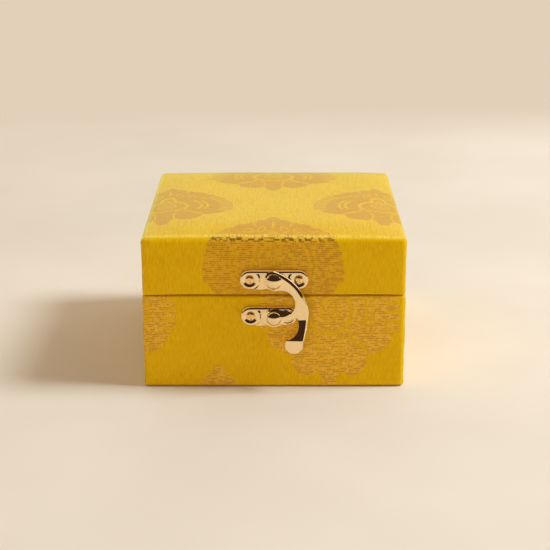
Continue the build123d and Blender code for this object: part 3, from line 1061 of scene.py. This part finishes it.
def hook_outline():
    """The hook's outline in mm from the rivet, anticlockwise, without points that all but meet."""
    outline = bow(*ARM_BOW, 26)
    # Round the head, along the inner arm, over the claw, round the stud and back, in mm
    outline += arc(0, 0.3, 3.7, 94, 262, 22)
    outline += arc(2.6, -9.0, 5.6, 106, -48, 34)
    outline += arc(4.4, -13.6, 1.6, 45, 130, 5)
    outline += arc(0, -14.8, 3.5, 62, 150, 10)
    outline += [(-2.6, -13.7), (-1.6, -13.3)]
    outline += arc(0, -14.8, 1.45, 140, -140, 22)
    outline += [(-1.6, -16.25), (-2.6, -16.5)]
    outline += arc(0, -14.8, 3.5, 216, 318, 14)
    outline += [(4.2, -16.2), (6.2, -15.4), (7.9, -14.6), (8.7, -14.5), (9.2, -15.0)]
    # Down the tail's inner side, round the ball and up its outer side
    outline += bow((9.35, -16.0), (8.9, -20.2), (5.2, -23.0), 12)
    outline += arc(7.7, -25.0, 3.45, 134, 356, 30)
    outline += bow(*TAIL_BOW, 14)
    points = []
    for point in outline:
        if not points or math.dist(point, points[-1]) > 0.12:
            points.append(point)
    return points


def turned_tool(name, radius, profile, steps):
    """A ring that cuts a bevel: its profile is (mm past the radius, mm high)."""
    return lathe(name, [mm(radius + past, z) for past, z in profile], steps)


def make_hook():
    """The hook is cast flat to its thickness, bevelled, and then its tail is kicked out."""
    points = hook_outline()
    mesh = bpy.data.meshes.new("swing_hook_casting")
    mesh.from_pydata([(*mm(x, y), HOOK_BACK) for x, y in points], [], [list(range(len(points)))])
    hook = link("swing_hook_casting", mesh)
    outward(hook)
    edit(hook, "FACE")
    pick_all()
    extrude(HOOK_FRONT - HOOK_BACK)
    done_editing()
    # The outer arc has a turned bevel, which runs out aslant where the arm turns down
    (x, y), radius = circle_through(*ARM_BOW)
    slope = [(0.05, 2.5), (-0.2, 2.82), (-1.35, 3.62), (-1.35, 5.0), (6.0, 5.0), (6.0, 2.5), (0.05, 2.5)]
    rim = turned_tool("rim_tool", radius, slope, 160)
    move(rim, x, y)
    run_out = block("run_out_tool", mm(-3, -50, 0), mm(60, 0, 10))
    move(run_out, 10.15, -6.0, -53)
    cut(rim, run_out)
    # The head is bevelled at its upper left, round the rivet
    slope = [(3.8, 2.75), (2.9, 3.6), (2.9, 5.0), (7.0, 5.0), (7.0, 2.75), (3.8, 2.75)]
    head = turned_tool("head_tool", 0, slope, 96)
    move(head, 0, 0.3)
    cut(head, block("beside_tool", mm(0, -20, 0), mm(20, 20, 10)),
        block("under_tool", mm(-20, -20, 0), mm(20, -0.8, 10)))
    # The tail is bevelled along its outer side, and the claw towards the window
    (x, y), radius = circle_through(*TAIL_BOW)
    slope = [(0.05, 3.0), (-0.85, 3.55), (-0.85, 5.0), (5.0, 5.0), (5.0, 3.0), (0.05, 3.0)]
    tail = turned_tool("tail_tool", radius, slope, 400)
    move(tail, x - 0.1, y - 1.5)
    cut(tail, block("above_tool", mm(-200, -11.2, 0), mm(200, 200, 10)),
        block("below_tool", mm(-200, -200, 0), mm(200, -23.6, 10)))
    window = cone("window_tool", 0, *mm(2.6, 5.7, 1.8, 3.75), 96)
    move(window, 2.6, -9.0)
    cut(hook, rim, head, tail, window)
    chamfer(hook, HOOK_CHAMFER, 22)
    edit(hook, "FACE")
    for drop in (KICK_FROM, 18.2, 20.8, KICK_TO):
        pick_all()
        bpy.ops.mesh.bisect(plane_co=(0, -drop * MM, 0), plane_no=(0, 1, 0))
    done_editing()
    outward(hook)
    # All beside the claw kicks out, and the claw itself stays flat
    beside_claw = 8.0 * MM
    below_claw = 19.5
    for vertex in hook.data.vertices:
        drop = -vertex.co.y / MM
        if vertex.co.x > beside_claw or drop > below_claw:
            vertex.co.z += KICK * min(max((drop - KICK_FROM) / (KICK_TO - KICK_FROM), 0), 1)
    smooth(hook, 14)
    modify(hook, "WEIGHTED_NORMAL", keep_sharp=True)
    return hook


place(at_front(make_hook(), HASP_Z), "latch_hook", zinc, "latch_gold", "latch_hook")

# CAD nodes that keep their shape take their real materials
for name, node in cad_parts.items():
    if name.endswith("_board"):
        stock = board_stock
    elif name.endswith("_card"):
        stock = satin
    elif "hinge" in name:
        stock = brass
    elif name == "base_foot_sheet":
        stock = paper
    else:
        stock = zinc
    node.data.materials.clear()
    node.data.materials.append(stock)


# Stage: table, lamps, room and camera. The table fades into the backdrop between two places
TABLE_RADIUS = 9.0
TABLE_FADES = (0.36, 0.50)
LAMPS_AIM = Vector((0, 0, 0.03))


def make_table():
    deselect_all()
    bpy.ops.mesh.primitive_circle_add(vertices=96, radius=TABLE_RADIUS, fill_type="NGON")
    table = settle(name_new("table"))
    n = material_nodes("pale_painted_table")
    at = n.add("TexCoord", out="Object")
    parts = n.add("SeparateXYZ", at).node.outputs
    reach = n.add("MAXIMUM", n.add("ABSOLUTE", parts["X"]), n.add("ABSOLUTE", parts["Y"]))
    far = n.add(SMOOTH, reach, *TABLE_FADES)
    grain = n.add("TexNoise", at, 9.0, 3.0, 0.5)
    base = n.add("Mix.RGBA", n.add(SMOOTH, grain, 0.3, 0.7), colour("#e6dccb"), colour("#ede3d4"))
    painted = n.finish(Base_Color=base, Roughness=0.6, Specular_IOR_Level=0.25)
    # Beyond the table the backdrop is a plain tone to the camera and to the metal's reflections
    ray = n.add("LightPath").node.outputs
    seen = n.add("MAXIMUM", ray["Is Camera Ray"], ray["Is Glossy Ray"])
    glow = n.add("Emission", colour("#e3d0b9"))
    paint = n.tree.nodes["Principled BSDF"].outputs["BSDF"]
    blend = n.add("MixShader", n.add("MULTIPLY", far, seen), paint, glow)
    n.put(n.tree.nodes["Material Output"].inputs["Surface"], blend)
    table.data.materials.append(painted)


def lamp(name, kind, at, power, tint, size=0.0, spread=0.0):
    """A lamp aimed at the box: an area lamp has a size in metres, and a sun a spread in degrees."""
    data = bpy.data.lights.new(name, kind)
    data.energy = power
    data.color = colour(tint)[:3]
    if kind == "AREA":
        data.shape = "DISK"
        data.size = size
    else:
        data.angle = math.radians(spread)
    light = link(name, data)
    light.location = at
    light.rotation_euler = (LAMPS_AIM - Vector(at)).to_track_quat("-Z", "Y").to_euler()
    light.visible_glossy = False


make_table()
lamp("key", "AREA", (1.20, -0.05, 1.32), 28.6, "#eaf4ff", size=0.6)
lamp("dome", "SUN", (0.1, 0.45, 1.0), 0.55, "#ffe4c4", spread=150)
lamp("front_fill", "SUN", (-0.2, -1.0, 0.2), 1.15, "#ffe2b8", spread=70)

world = bpy.data.worlds.new("studio")
bpy.context.scene.world = world
sky = Nodes(world)
directions = sky.add("SeparateXYZ", sky.add("TexCoord", out="Generated")).node.outputs
back, up = directions["Y"], directions["Z"]


def height_of(degrees):
    """The Z of a direction that points this far up."""
    return math.sin(math.radians(degrees))


# The room: a pale backdrop behind the box up to about 60 degrees, and dark above and in front
low_dark = sky.add(SMOOTH, up, height_of(2), height_of(7))
high_dark = sky.add(SMOOTH, up, height_of(58), height_of(78))
not_behind = sky.add(SMOOTH, back, 0.45, 0.05)
dark = sky.add("MULTIPLY", low_dark, sky.add("MAXIMUM", high_dark, not_behind))
room = sky.add("Mix.RGBA", dark, colour("#e4d6c0"), colour("#3a2b20"))
# A strip light from side to side overhead, seen only in gloss: it draws the thin light rims
strip = sky.add(SMOOTH, sky.add("ABSOLUTE", back), 0.16, 0.10)
strip = sky.add("MULTIPLY", strip, sky.add(SMOOTH, up, 0.25, 0.4))
strip = sky.add("MULTIPLY", strip, sky.add("LightPath", out="Is Glossy Ray"))
room = sky.add("Mix.RGBA", strip, room, (1.4, 1.35, 1.25, 1.0))
background = sky.tree.nodes["Background"]
sky.put(background.inputs["Color"], room)
background.inputs["Strength"].default_value = 1.0

camera_data = bpy.data.cameras.new("camera")
camera_data.lens = 88.7
camera_data.sensor_width = 36
camera = link("camera", camera_data)
camera.location = (0.0012, -0.5413, 0.2126)
camera.rotation_euler = (math.radians(90 - 18.73), math.radians(0.06), math.radians(0.07))
bpy.context.scene.camera = camera
bpy.context.scene.view_settings.view_transform = "Standard"

bpy.context.view_layer.update()
